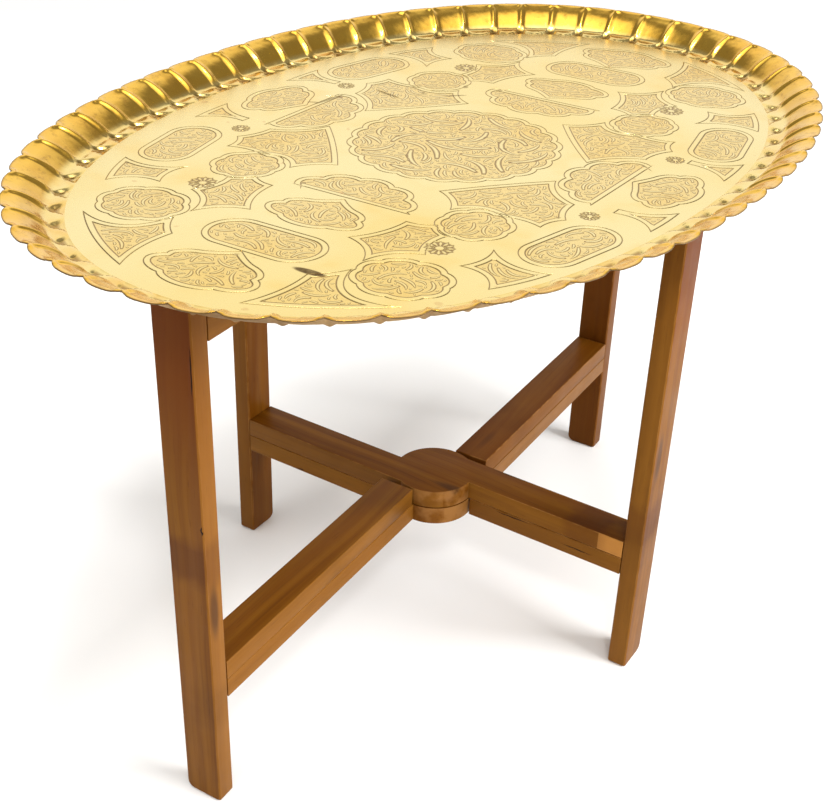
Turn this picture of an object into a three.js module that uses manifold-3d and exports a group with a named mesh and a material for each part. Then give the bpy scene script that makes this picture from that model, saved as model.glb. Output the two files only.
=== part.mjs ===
import * as THREE from 'three';
import { mergeVertices } from 'three/addons/utils/BufferGeometryUtils.js';
import Module from 'manifold-3d';

const wasm = await Module();
wasm.setup();

// Millimetres, +Z up, floor at z = 0. The origin is under the pivot that both folding frames
// share. +X runs along the long axis of the oval tray.

// Tray
const trayLength = 847;
const trayWidth = 579;
const trayRise = 22;
const rimBand = 46;
const sheetThickness = 1.2;
const ovalPower = 2.16;
const fluteCount = 64;
const scoopDepth = 3.4;
const edgeWave = 2.8;

// Folding stand
const standHeight = 503;
const stretcherUnderside = 111;
const lowerBoardThickness = 19.4;
const topBoardThickness = 22.3;
const boardWidth = 37;
const legThickness = 19;
const shortReach = 233;
const longReach = 365;
const discOverhang = 4;
const shortFrameAngle = -85.6;
const crossingAngle = 91.9;
const wideFootRound = 7.5;
const tightFootRound = 2.5;
const legEase = 1.2;
const boardEase = 0.6;

// Joinery and hardware
const dowelDiameter = 8;
const dowelLength = 34;
const dowelDepthInLeg = 12;
const pinDiameter = 10;
const pinCover = 6;
const frictionWasherDiameter = 62;
const frictionWasherThickness = 0.8;
const retainerDiameter = 24;
const retainerThickness = 1.5;
const screwDiameter = 4;
const screwLength = 14;
const screwHeadDiameter = 9;
const screwHeadHeight = 2.6;
const screwSlotWidth = 1.2;
const screwSlotDepth = 1.2;

// Clearances
const glueGap = 0.3;
const foldGap = 0.4;
const discClearance = 2;
const holeClearance = 0.3;
const runningClearance = 0.08;
const restGap = 0.3;

// Derived sizes. A disc is a little larger than its board is wide, so that both arms meet it.
const discRadius = boardWidth + discOverhang;
const shoulder = discRadius + discClearance;
const discRelief = (frictionWasherThickness + 2 * holeClearance - glueGap) / 2;
const trayFloor = standHeight + restGap + sheetThickness;
const topUnderside = standHeight - 2 * topBoardThickness - glueGap;

const DEGREE = Math.PI / 180;
const DISC_STEPS = 96;
const PIN_STEPS = 32;
const SMALL_STEPS = 16;
const CORNER_STEPS = 4;
const FLUTE_STEPS = 4;
const PAST = 1;

const WOOD = { color: 0x8a5526, roughness: 0.45, metalness: 0 };
const DOWEL_WOOD = { color: 0xa87a48, roughness: 0.6, metalness: 0 };
const BRASS = { color: 0xe3bd62, roughness: 0.28, metalness: 1 };
const STEEL = { color: 0x8c8c90, roughness: 0.35, metalness: 1 };
const FIBRE = { color: 0x33281f, roughness: 0.8, metalness: 0 };

function addMesh(parent, name, geometry, look) {
  geometry.computeVertexNormals();
  const mesh = new THREE.Mesh(geometry, new THREE.MeshStandardMaterial(look));
  mesh.name = name;
  parent.add(mesh);
}

function toSolid(geometry) {
  const bare = geometry.clone();
  bare.deleteAttribute('normal');
  bare.deleteAttribute('uv');
  const merged = mergeVertices(bare, 1e-4);
  return new wasm.Manifold(new wasm.Mesh({
    numProp: 3,
    vertProperties: new Float32Array(merged.attributes.position.array),
    triVerts: new Uint32Array(merged.index.array),
  }));
}

function toGeometry(solid) {
  const mesh = solid.getMesh();
  const geometry = new THREE.BufferGeometry();
  const positions = new Float32Array(mesh.vertProperties);
  geometry.setAttribute('position', new THREE.BufferAttribute(positions, 3));
  geometry.setIndex(new THREE.BufferAttribute(new Uint32Array(mesh.triVerts), 1));
  return geometry;
}

// An upright cylinder on the pivot line.
function post(radius, z0, z1, steps) {
  const cylinder = new THREE.CylinderGeometry(radius, radius, z1 - z0, steps);
  cylinder.rotateX(Math.PI / 2);
  cylinder.translate(0, 0, (z0 + z1) / 2);
  return toSolid(cylinder);
}

// A cylinder along X, for a dowel or its hole.
function peg(radius, x0, x1, y, z) {
  const cylinder = new THREE.CylinderGeometry(radius, radius, x1 - x0, SMALL_STEPS);
  cylinder.rotateZ(Math.PI / 2);
  cylinder.translate((x0 + x1) / 2, y, z);
  return toSolid(cylinder);
}

// An outline extruded to a given thickness, with both faces' edges eased by a small chamfer.
function easedSlab(outline, thickness, ease) {
  return new THREE.ExtrudeGeometry(new THREE.Shape(outline), {
    depth: thickness - 2 * ease,
    bevelEnabled: true,
    bevelThickness: ease,
    bevelSize: ease,
    bevelOffset: -ease,
    bevelSegments: 1,
  }).translate(0, 0, ease);
}

function arc(cx, cy, radius, from, to, steps) {
  const points = [];
  for (let i = 0; i <= steps; i += 1) {
    const angle = from + (to - from) * i / steps;
    points.push(new THREE.Vector2(cx + radius * Math.cos(angle), cy + radius * Math.sin(angle)));
  }
  return points;
}

// Each frame is described along its own X axis. Its +X arm lies on one side of the centre line
// and its -X arm on the other, so that the two frames fold flat side by side.
function armSpan(frame, end) {
  const inner = end * frame.side * foldGap;
  const outer = end * frame.side * boardWidth;
  return [Math.min(inner, outer), Math.max(inner, outer)];
}

function between(end, near, far) {
  return [Math.min(end * near, end * far), Math.max(end * near, end * far)];
}

function dowelSpan(frame, end) {
  const jointFace = frame.reach - legThickness;
  return between(end, jointFace + dowelDepthInLeg - dowelLength, jointFace + dowelDepthInLeg);
}

// A leg is a board whose wide face looks along the frame. Its two foot corners are rounded.
function legSolid(frame, end) {
  const [y0, y1] = armSpan(frame, end);
  const [x0] = between(end, frame.reach - legThickness, frame.reach);
  const outline = [
    new THREE.Vector2(y1, standHeight),
    new THREE.Vector2(y0, standHeight),
    ...arc(y0 + tightFootRound, tightFootRound, tightFootRound, Math.PI, 1.5 * Math.PI, CORNER_STEPS),
    ...arc(y1 - wideFootRound, wideFootRound, wideFootRound, 1.5 * Math.PI, 2 * Math.PI, CORNER_STEPS),
  ];
  const leg = easedSlab(outline, legThickness, legEase);
  const upright = new THREE.Matrix4().makeBasis(
    new THREE.Vector3(0, 1, 0),
    new THREE.Vector3(0, 0, 1),
    new THREE.Vector3(1, 0, 0),
  );
  leg.applyMatrix4(upright);
  leg.translate(x0, 0, 0);
  return toSolid(leg);
}

// The board that carries the pivot disc, with one arm out to each leg.
function discBoard(frame, z0, thickness) {
  const armEnd = frame.reach - legThickness - glueGap;
  const outerAngle = Math.asin(boardWidth / discRadius);
  const innerAngle = Math.asin(foldGap / discRadius);
  const half = arc(0, 0, discRadius, outerAngle, Math.PI + innerAngle, DISC_STEPS / 2);
  const outline = [
    new THREE.Vector2(armEnd, foldGap),
    new THREE.Vector2(armEnd, boardWidth),
    ...half,
    new THREE.Vector2(-armEnd, -foldGap),
    new THREE.Vector2(-armEnd, -boardWidth),
    ...half.map((point) => point.clone().negate()),
  ];
  for (const point of outline) {
    point.y *= frame.side;
  }
  const board = easedSlab(outline, thickness, boardEase);
  board.translate(0, 0, z0);
  return toSolid(board);
}

// The shorter board glued to the disc board. It stops clear of the other frame's disc.
function fillerBoard(frame, end, z0, thickness) {
  const [y0, y1] = armSpan(frame, end);
  const [x0, x1] = between(end, shoulder, frame.reach - legThickness - glueGap);
  const outline = [
    new THREE.Vector2(x0, y0),
    new THREE.Vector2(x1, y0),
    new THREE.Vector2(x1, y1),
    new THREE.Vector2(x0, y1),
  ];
  const board = easedSlab(outline, thickness, boardEase);
  board.translate(0, 0, z0);
  return toSolid(board);
}

const table = new THREE.Group();

// The short frame's discs lie over the long frame's discs.
const shortFrame = {
  name: 'short',
  group: new THREE.Group(),
  reach: shortReach,
  side: 1,
  discOnTop: true,
  endNames: { front: 1, back: -1 },
};
const longFrame = {
  name: 'long',
  group: new THREE.Group(),
  reach: longReach,
  side: -1,
  discOnTop: false,
  endNames: { right: 1, left: -1 },
};
shortFrame.group.rotation.z = shortFrameAngle * DEGREE;
longFrame.group.rotation.z = (shortFrameAngle + crossingAngle) * DEGREE;
table.add(shortFrame.group, longFrame.group);

// The stretchers and top rails, each made of boards of one thickness.
const levels = [
  { name: 'lower', base: stretcherUnderside, thickness: lowerBoardThickness },
  { name: 'top', base: topUnderside, thickness: topBoardThickness },
];
const dowelHole = dowelDiameter / 2 + holeClearance;

function dowelHoleSolid(frame, end, z) {
  const [y0, y1] = armSpan(frame, end);
  const [from, to] = dowelSpan(frame, end);
  return peg(dowelHole, from - holeClearance, to + holeClearance, (y0 + y1) / 2, z);
}

function addLegs(frame) {
  for (const [endName, end] of Object.entries(frame.endNames)) {
    let leg = legSolid(frame, end);
    for (const { base, thickness } of levels) {
      const lowMiddle = base + thickness / 2;
      const highMiddle = lowMiddle + thickness + glueGap;
      leg = leg.subtract(dowelHoleSolid(frame, end, lowMiddle));
      leg = leg.subtract(dowelHoleSolid(frame, end, highMiddle));
    }
    addMesh(frame.group, `leg_${frame.name}_${endName}`, toGeometry(leg), WOOD);
  }
}

function addDowel(name, frame, end, z) {
  const [y0, y1] = armSpan(frame, end);
  const [from, to] = dowelSpan(frame, end);
  const dowel = peg(dowelDiameter / 2, from, to, (y0 + y1) / 2, z);
  addMesh(frame.group, name, toGeometry(dowel), DOWEL_WOOD);
}

function addStretcher(frame, level) {
  const { base, thickness } = level;
  const upper = base + thickness + glueGap;
  const discZ = frame.discOnTop ? upper : base;
  const fillerZ = frame.discOnTop ? base : upper;
  const discMiddle = discZ + thickness / 2;
  const fillerMiddle = fillerZ + thickness / 2;
  const reliefRadius = discRadius + discClearance / 2;
  const discTop = discZ + thickness;
  let board = discBoard(frame, discZ, thickness);
  if (frame.discOnTop) {
    board = board.subtract(post(reliefRadius, discZ - PAST, discZ + discRelief, DISC_STEPS));
    const boreRadius = pinDiameter / 2 + holeClearance;
    board = board.subtract(post(boreRadius, discZ - PAST, discTop - pinCover, PIN_STEPS));
  } else {
    board = board.subtract(post(reliefRadius, discTop - discRelief, discTop + PAST, DISC_STEPS));
    const boreRadius = pinDiameter / 2 + runningClearance;
    board = board.subtract(post(boreRadius, discZ - PAST, discTop + PAST, PIN_STEPS));
  }
  for (const [endName, end] of Object.entries(frame.endNames)) {
    board = board.subtract(dowelHoleSolid(frame, end, discMiddle));
    const filler = fillerBoard(frame, end, fillerZ, thickness)
      .subtract(dowelHoleSolid(frame, end, fillerMiddle));
    const place = `${frame.name}_${endName}`;
    addMesh(frame.group, `${level.name}_filler_${place}`, toGeometry(filler), WOOD);
    addDowel(`${level.name}_board_dowel_${place}`, frame, end, discMiddle);
    addDowel(`${level.name}_filler_dowel_${place}`, frame, end, fillerMiddle);
  }
  addMesh(frame.group, `${level.name}_disc_board_${frame.name}`, toGeometry(board), WOOD);
}

// The pin is blind in the upper disc, so no metal shows from above. A screw and a washer hold it
// from below the lower disc.
function addPivot({ name, base, thickness }) {
  const seam = base + thickness + glueGap / 2;
  const pinTop = base + 2 * thickness + glueGap - pinCover - holeClearance;
  const pinFoot = base - holeClearance;
  const screwTip = pinFoot + screwLength;
  const screwHole = screwDiameter / 2 + holeClearance;
  const pin = post(pinDiameter / 2, pinFoot, pinTop, PIN_STEPS)
    .subtract(post(screwHole, pinFoot - PAST, screwTip + holeClearance, SMALL_STEPS));
  addMesh(table, `${name}_pivot_pin`, toGeometry(pin), STEEL);

  const washerLow = seam - frictionWasherThickness / 2;
  const washerHigh = seam + frictionWasherThickness / 2;
  const washer = post(frictionWasherDiameter / 2, washerLow, washerHigh, DISC_STEPS)
    .subtract(post(pinDiameter / 2 + holeClearance, washerLow - PAST, washerHigh + PAST, PIN_STEPS));
  addMesh(table, `${name}_friction_washer`, toGeometry(washer), FIBRE);

  const retainerHigh = pinFoot - holeClearance;
  const retainerLow = retainerHigh - retainerThickness;
  const retainer = post(retainerDiameter / 2, retainerLow, retainerHigh, PIN_STEPS)
    .subtract(post(screwHole, retainerLow - PAST, retainerHigh + PAST, SMALL_STEPS));
  addMesh(table, `${name}_retaining_washer`, toGeometry(retainer), STEEL);

  const headHigh = retainerLow - holeClearance;
  const headLow = headHigh - screwHeadHeight;
  const slot = new THREE.BoxGeometry(screwHeadDiameter + 2 * PAST, screwSlotWidth, 2 * screwSlotDepth);
  slot.translate(0, 0, headLow);
  const screw = post(screwDiameter / 2, headHigh - PAST, screwTip, SMALL_STEPS)
    .add(post(screwHeadDiameter / 2, headLow, headHigh, PIN_STEPS))
    .subtract(toSolid(slot));
  addMesh(table, `${name}_pivot_screw`, toGeometry(screw), STEEL);
}

// The tray's outline is a slightly squared oval.
function ovalPoint(inset, angle) {
  const c = Math.cos(angle);
  const s = Math.sin(angle);
  const reach = (Math.abs(c) ** ovalPower + Math.abs(s) ** ovalPower) ** (-1 / ovalPower);
  return new THREE.Vector2((trayLength / 2 - inset) * reach * c, (trayWidth / 2 - inset) * reach * s);
}

// Angles that space points evenly along the edge.
function evenAngles(count) {
  const fine = 7200;
  const lengths = [0];
  let previous = ovalPoint(0, 0);
  for (let i = 1; i <= fine; i += 1) {
    const point = ovalPoint(0, 2 * Math.PI * i / fine);
    lengths.push(lengths[i - 1] + point.distanceTo(previous));
    previous = point;
  }
  const angles = [];
  let step = 0;
  for (let i = 0; i < count; i += 1) {
    const wanted = lengths[fine] * i / count;
    while (lengths[step + 1] < wanted) {
      step += 1;
    }
    const part = (wanted - lengths[step]) / (lengths[step + 1] - lengths[step]);
    angles.push(2 * Math.PI * (step + part) / fine);
  }
  return angles;
}

// Each ring gives, as parts of the whole, how far out across the rim it lies, how high its ridges
// stand, how deep its scoops are, and how much the edge waves. The rim rises steeply in the middle
// and turns out flat at its lip.
const rimRings = [
  { out: 0, rise: 0, scoop: 0, wave: 0 },
  { out: 0.2, rise: 0.16, scoop: 0.8, wave: 0 },
  { out: 0.5, rise: 0.52, scoop: 1, wave: 0 },
  { out: 0.78, rise: 0.9, scoop: 0.6, wave: 0 },
  { out: 1, rise: 1, scoop: 0, wave: 1 },
];

function ringSlope(index) {
  if (index === 0) {
    return 0;
  }
  const before = rimRings[index - 1];
  const after = rimRings[Math.min(index + 1, rimRings.length - 1)];
  return Math.atan2((after.rise - before.rise) * trayRise, (after.out - before.out) * rimBand);
}

// Each flute rises from the flat floor to the rim as a scoop between two ridges.
function addTray() {
  const angles = evenAngles(fluteCount * FLUTE_STEPS);
  const count = angles.length;
  const upper = [[0, 0, trayFloor]];
  const lower = [[0, 0, trayFloor - sheetThickness]];
  for (const [ringIndex, ring] of rimRings.entries()) {
    const slope = ringSlope(ringIndex);
    const atEdge = ringIndex === rimRings.length - 1;
    for (const [i, angle] of angles.entries()) {
      const bowl = Math.sin(Math.PI * (i % FLUTE_STEPS) / FLUTE_STEPS);
      const edge = ovalPoint(0, angle);
      const foot = ovalPoint(rimBand, angle);
      const outward = edge.clone().sub(foot).normalize();
      const ridge = foot.clone().lerp(edge, ring.out);
      const depth = scoopDepth * ring.scoop * bowl;
      const top = ridge.clone().addScaledVector(outward, depth * Math.sin(slope));
      const height = ring.rise * (trayRise - ring.wave * edgeWave * (1 - bowl)) - depth * Math.cos(slope);
      const z = trayFloor + height;
      upper.push([top.x, top.y, z]);
      if (atEdge) {
        lower.push([top.x, top.y, z - sheetThickness / Math.cos(slope)]);
      } else {
        const under = top.addScaledVector(outward, sheetThickness * Math.sin(slope));
        lower.push([under.x, under.y, z - sheetThickness * Math.cos(slope)]);
      }
    }
  }
  const index = [];
  const offset = upper.length;
  for (let i = 0; i < count; i += 1) {
    const next = (i + 1) % count;
    index.push(0, 1 + i, 1 + next);
    index.push(offset, offset + 1 + next, offset + 1 + i);
    for (let ring = 0; ring + 1 < rimRings.length; ring += 1) {
      const a = 1 + ring * count + i;
      const b = 1 + ring * count + next;
      const c = b + count;
      const d = a + count;
      index.push(a, d, c, a, c, b);
      index.push(offset + a, offset + c, offset + d, offset + a, offset + b, offset + c);
    }
    const rim = 1 + (rimRings.length - 1) * count;
    const topA = rim + i;
    const topB = rim + next;
    index.push(topA, offset + topA, offset + topB, topA, offset + topB, topB);
  }
  const geometry = new THREE.BufferGeometry();
  const positions = new Float32Array([...upper, ...lower].flat());
  geometry.setAttribute('position', new THREE.BufferAttribute(positions, 3));
  geometry.setIndex(index);
  addMesh(table, 'tray', toGeometry(toSolid(geometry)), BRASS);
}

addTray();
for (const frame of [shortFrame, longFrame]) {
  addLegs(frame);
  for (const level of levels) {
    addStretcher(frame, level);
  }
}
for (const level of levels) {
  addPivot(level);
}

export default table;
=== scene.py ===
"""The looks of the brass tray table: a chased and fluted brass tray on a folding wooden stand.

Lengths in this script are millimetres unless a name ends in _M, and are scaled to metres where a mesh is
made. The tray is built about its own middle, which is over the stand's pivot.
"""

import math
import random
from contextlib import contextmanager

import bmesh
import bpy
import numpy as np
from mathutils import Matrix, Vector
from mathutils.geometry import delaunay_2d_cdt


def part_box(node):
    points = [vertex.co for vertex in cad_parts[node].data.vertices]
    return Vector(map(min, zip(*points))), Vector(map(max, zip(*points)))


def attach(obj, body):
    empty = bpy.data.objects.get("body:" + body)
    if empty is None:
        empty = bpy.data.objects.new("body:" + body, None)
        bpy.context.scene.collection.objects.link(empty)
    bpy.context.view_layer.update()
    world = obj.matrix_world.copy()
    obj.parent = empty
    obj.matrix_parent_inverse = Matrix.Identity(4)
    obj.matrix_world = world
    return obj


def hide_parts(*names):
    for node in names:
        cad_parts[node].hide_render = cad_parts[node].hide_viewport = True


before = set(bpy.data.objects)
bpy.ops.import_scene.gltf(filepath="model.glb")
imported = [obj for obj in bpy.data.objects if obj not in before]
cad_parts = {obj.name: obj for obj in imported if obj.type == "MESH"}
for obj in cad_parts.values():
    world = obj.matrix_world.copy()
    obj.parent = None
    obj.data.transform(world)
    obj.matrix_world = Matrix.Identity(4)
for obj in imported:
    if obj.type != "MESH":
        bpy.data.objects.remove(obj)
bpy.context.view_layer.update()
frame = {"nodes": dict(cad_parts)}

MM = 0.001

# Tray, as in the CAD
TRAY_LOW, TRAY_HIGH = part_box("tray")
HALF_LENGTH = (TRAY_HIGH.x - TRAY_LOW.x) / 2 / MM
HALF_WIDTH = (TRAY_HIGH.y - TRAY_LOW.y) / 2 / MM
UNDERSIDE = TRAY_LOW.z / MM
SHEET = 1.2
FLOOR = UNDERSIDE + SHEET
RISE = TRAY_HIGH.z / MM - FLOOR
RIM_BAND = 46
OVAL_POWER = 2.16
OUTLINE_STEPS = 14400
FLUTES = 64

# Flutes. A pair is where something starts and ends, in distance out across the rim.
HALF_PITCH = 15.2
HALF_PITCH_GROWTH = 3.0
RISER = (9, 14)
LIP_START = (38, 45)
LIP_PULL = (36, 46)
RIB_HALF = 3.9
TONGUE_LENGTH = 13.5
STEP_HEIGHT = 0.5
LIP_NOTCH = 4.6
LIP_BEAD = 1.5
DISH = 0.7
# How strongly painted shade darkens the brass along the ribs' feet, on the scoops' walls and along the
# rim's edge.
FOOT_PAINTED_SHADE = 0.35
WALL_PAINTED_SHADE = 0.32
EDGE_PAINTED_SHADE = 0.9

# Chasing
LINE_WIDTH = 1.5
LINE_DEPTH = 0.34
GROUND_DEPTH = 0.2
OUTLINE_GAP = 5.0
LEAF_CROWN = 0.06
LEAF_BEND = (0.9, 2.1)
LEAF_LEAN = (0.0, 0.5)
LEAF_VARIES = (0.85, 1.15)
CURL_AREA = 420
LEAF_TRIES = 3.2
CHASED_STEP = 3.2

# How the engraver's layout sits on the tray: a little turned, sheared and off the middle
LAYOUT_MIDDLE = (-2.0, -7.0)
LAYOUT_TURN_X = math.radians(2.4)
LAYOUT_TURN_Y = math.radians(6.8)
ROW_SHIFT = 12

# Stand
SHORT_ANGLE = math.radians(-85.6)
LONG_ANGLE = math.radians(6.3)

SHARP_ANGLE = math.radians(35)
FLAT_ANGLE = math.radians(1)
TINY = 1e-9


# ======== Small helpers

def smooth(low, high, x):
    t = np.clip((x - low) / (high - low), 0, 1)
    return t * t * (3 - 2 * t)


def spline(knots, x):
    """A smooth curve through (x, y) knots. Its slope at a knot is the mean of the slopes beside it."""
    xs, ys = np.array(knots, float).T
    slopes = np.diff(ys) / np.diff(xs)
    tangents = np.concatenate([[slopes[0]], (slopes[1:] + slopes[:-1]) / 2, [slopes[-1]]])
    i = np.clip(np.searchsorted(xs, x, side="right") - 1, 0, len(xs) - 2)
    h = xs[i + 1] - xs[i]
    t = (np.clip(x, xs[0], xs[-1]) - xs[i]) / h
    start = (1 + 2 * t) * (1 - t) ** 2 * ys[i] + t * (1 - t) ** 2 * h * tangents[i]
    return start + t * t * (3 - 2 * t) * ys[i + 1] + t * t * (t - 1) * h * tangents[i + 1]


def add_to_scene(made):
    bpy.context.scene.collection.objects.link(made)
    return made


def new_object(name, vertices, faces, materials, face_slots=None, smooth_faces=None):
    """A mesh object from points in millimetres."""
    mesh = bpy.data.meshes.new(name)
    mesh.from_pydata([tuple(v) for v in np.asarray(vertices) * MM], [], faces)
    for material in materials:
        mesh.materials.append(material)
    if face_slots is not None:
        mesh.polygons.foreach_set("material_index", face_slots)
    if smooth_faces is not None:
        mesh.polygons.foreach_set("use_smooth", smooth_faces)
    mesh.update()
    return add_to_scene(bpy.data.objects.new(name, mesh))


@contextmanager
def editing(mesh):
    """The mesh as a bmesh, written back afterwards."""
    edited = bmesh.new()
    edited.from_mesh(mesh)
    yield edited
    edited.to_mesh(mesh)
    edited.free()


def set_attribute(mesh, name, values):
    attribute = mesh.attributes.new(name, "FLOAT", "POINT")
    attribute.data.foreach_set("value", np.asarray(values, np.float32))


# ======== Node materials

class Nodes:
    """A short way to write a node tree."""

    def __init__(self, tree):
        self.tree = tree
        self.tree.nodes.clear()

    def link(self, source, socket):
        self.tree.links.new(source, socket)

    def feed(self, socket, value):
        if isinstance(value, bpy.types.NodeSocket):
            self.link(value, socket)
        elif isinstance(value, tuple) and len(value) == 3 and socket.type == "RGBA":
            socket.default_value = (*value, 1)
        else:
            socket.default_value = value

    def node(self, kind, output=0, settings=None, **inputs):
        made = self.tree.nodes.new("ShaderNode" + kind)
        for key, value in (settings or {}).items():
            setattr(made, key, value)
        for key, value in inputs.items():
            self.feed(made.inputs[key.replace("_", " ")], value)
        return made.outputs[output]

    def place(self):
        return self.node("TexCoord", "Object")

    def attribute(self, name, kind="GEOMETRY"):
        return self.node("Attribute", "Fac", {"attribute_name": name, "attribute_type": kind})

    def operate(self, kind, operation, a, b, output=0):
        made = self.tree.nodes.new("ShaderNode" + kind)
        made.operation = operation
        self.feed(made.inputs[0], a)
        self.feed(made.inputs[1], b)
        return made.outputs[output]

    def math(self, operation, a, b):
        return self.operate("Math", operation, a, b)

    def vector_math(self, operation, a, b=(0, 0, 0), output=0):
        return self.operate("VectorMath", operation, a, b, output)

    def times(self, a, b):
        return self.math("MULTIPLY", a, b)

    def plus(self, a, b):
        return self.math("ADD", a, b)

    def stretch(self, vector, scale):
        return self.node("Mapping", Vector=vector, Scale=scale)

    def shift(self, vector, amount):
        return self.vector_math("ADD", vector, amount)

    def vector(self, x, y, z):
        return self.node("CombineXYZ", X=x, Y=y, Z=z)

    def noise(self, vector, scale, detail=2.0, roughness=0.5):
        return self.node("TexNoise", Vector=vector, Scale=scale, Detail=detail,
                         Roughness=roughness)

    def cells(self, vector, scale, feature="F1"):
        """The distance to the nearest of scattered points."""
        return self.node("TexVoronoi", "Distance", {"feature": feature}, Vector=vector, Scale=scale)

    def between(self, value, low, high, to_low=0.0, to_high=1.0):
        """The value moved from one range to another, held at its ends."""
        return self.node("MapRange", 0, {"interpolation_type": "SMOOTHSTEP"}, Value=value,
                         From_Min=low, From_Max=high, To_Min=to_low, To_Max=to_high)

    def mix(self, amount, a, b):
        """Colour a where the amount is 0, and colour b where it is 1."""
        made = self.tree.nodes.new("ShaderNodeMix")
        made.data_type = "RGBA"
        made.clamp_factor = True
        self.feed(made.inputs[0], amount)
        self.feed(made.inputs[6], a)
        self.feed(made.inputs[7], b)
        return made.outputs[2]

    def axis(self, vector, name):
        return self.node("SeparateXYZ", name, None, Vector=vector)

    def bump(self, height, strength, distance, normal=None):
        under = {} if normal is None else {"Normal": normal}
        return self.node("Bump", Height=height, Strength=strength, Distance=distance, **under)

    def spot(self, vector, place, size, turn):
        """1 inside an oval on the tray turned by some degrees, 0 outside, with a soft edge."""
        laid = self.node("Mapping", 0, {"vector_type": "TEXTURE"}, Vector=vector,
                         Location=(place[0] * MM, place[1] * MM, FLOOR * MM),
                         Rotation=(0, 0, math.radians(turn)),
                         Scale=(size[0] / 2 * MM, size[1] / 2 * MM, 5 * MM))
        return self.between(self.vector_math("LENGTH", laid, output="Value"), 1.15, 0.75)


class Shader(Nodes):
    """A material whose nodes end in a Principled surface."""

    def __init__(self, name):
        self.material = bpy.data.materials.new(name)
        self.material.use_nodes = True
        super().__init__(self.material.node_tree)
        output = self.tree.nodes.new("ShaderNodeOutputMaterial")
        self.surface = self.tree.nodes.new("ShaderNodeBsdfPrincipled")
        self.link(self.surface.outputs[0], output.inputs[0])

    def finish(self, **inputs):
        for key, value in inputs.items():
            self.feed(self.surface.inputs[key.replace("_", " ")], value)
        return self.material


# Linear colours
BRASS = (0.93, 0.73, 0.28)
BRASS_PALE = (0.95, 0.80, 0.39)
# BRASS_DEEP is painted reflection on the rim's walls; on the floor it tints random patches and the matted
# ground.
BRASS_DEEP = (0.94, 0.57, 0.085)
# Tarnish, also used as the colour of painted shade on the rim.
TARNISH_AND_SHADE = (0.33, 0.17, 0.022)
LINE_BROWN = (0.34, 0.21, 0.06)
STAIN_BROWN = (0.10, 0.055, 0.018)
COPPER_SPECK = (0.62, 0.30, 0.10)
COPPER_CLOUD = (0.88, 0.46, 0.05)
DULL_BRASS = (0.50, 0.32, 0.12)
DULL_BRASS_DARK = (0.26, 0.15, 0.055)
# Painted shade along the rim's edge, on the underside's first rows.
LIP_EDGE_SHADE = (0.09, 0.05, 0.015)

WOOD_DARK = (0.034, 0.0085, 0.0006)
WOOD_MID = (0.104, 0.031, 0.0009)
WOOD_LIGHT = (0.190, 0.072, 0.005)
WOOD_ROSY = (0.18, 0.064, 0.011)
# Paler colour painted on the boards' narrow faces: painted light.
WOOD_NARROW_FACE_LIT = (0.30, 0.135, 0.024)
WOOD_DARK_BOARD = (0.09, 0.022, 0.003)
WOOD_PALE_BOARD = (0.36, 0.17, 0.045)
WOOD_KNOT = (0.045, 0.017, 0.006)
WOOD_BLOCK = (0.46, 0.20, 0.045)
WOOD_STAIN = (0.065, 0.016, 0.003)
# Painted shade at the tops of the legs, under the tray.
WOOD_LEG_TOP_SHADE = (0.105, 0.020, 0.0005)
WOOD_WORN = (0.34, 0.16, 0.05)
VARNISH_TINT = (1.0, 0.7, 0.42)


def brass_floor_material(name, matted):
    """The floor's brass, plain and chased, or the finely punched ground between the leaves."""
    s = Shader(name)
    place = s.place()
    broad = s.noise(place, 5.5, 2)
    patch = s.noise(place, 22, 3)
    fine = s.noise(place, 240, 3, 0.6)
    colour = s.mix(s.between(broad, 0.35, 0.7), BRASS_PALE, BRASS)
    colour = s.mix(s.times(s.between(patch, 0.5, 0.75), 0.25), colour, BRASS_DEEP)
    stains = floor_stains(s, place)
    roughness = s.plus(0.24, s.times(fine, 0.08))
    if matted:
        punches = s.cells(place, 1100.0)
        pits = s.between(punches, 0.2, 0.5, 1.0, 0.0)
        colour = s.mix(0.28, colour, BRASS_DEEP)
        colour = s.mix(s.plus(0.03, s.times(pits, 0.26)), colour, LINE_BROWN)
        roughness = s.plus(roughness, 0.03)
        relief = s.bump(punches, 0.12, 0.0002)
    else:
        line = s.attribute("line")
        cut_line = s.between(line, 0.22, 0.75)
        colour = s.mix(cut_line, colour, LINE_BROWN)
        scratch = s.noise(s.stretch(place, (26, 420, 1)), 1.0, 3)
        relief = s.bump(scratch, 0.06, 0.0003)
    colour = s.mix(s.times(stains, 0.9), colour, STAIN_BROWN)
    specks = s.between(s.noise(place, 75, 1), 0.74, 0.8)
    colour = s.mix(s.times(specks, 0.3), colour, COPPER_SPECK)
    roughness = s.plus(roughness, s.times(stains, 0.35))
    waves = s.bump(s.noise(place, 11, 1), 0.25, 0.004, relief)
    return s.finish(Base_Color=colour, Metallic=1.0, Roughness=roughness, Normal=waves)


# The floor's stains: the great one, and the faint ones as middle, size and turn in degrees
GREAT_STAIN = (-281, -80), (8, 29), 8
FAINT_STAINS = [((14, 153), (44, 4.5), -4), ((64, 122), (4.5, 32), -8), ((104, 70), (24, 3.5), -42),
                ((-3, 159), (12, 3), -55), ((132, 77), (7, 5), 20), ((90, 98), (5, 3), 0)]
FAINTNESS = 0.6


def floor_stains(s, place):
    """The dark ragged stains in the floor's lacquer."""
    ragged = s.plus(0.75, s.times(s.noise(place, 260, 3), 0.5))
    stains = s.spot(place, *GREAT_STAIN)
    for stain in FAINT_STAINS:
        stains = s.math("MAXIMUM", stains, s.times(s.spot(place, *stain), FAINTNESS))
    return s.times(stains, ragged)


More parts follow.
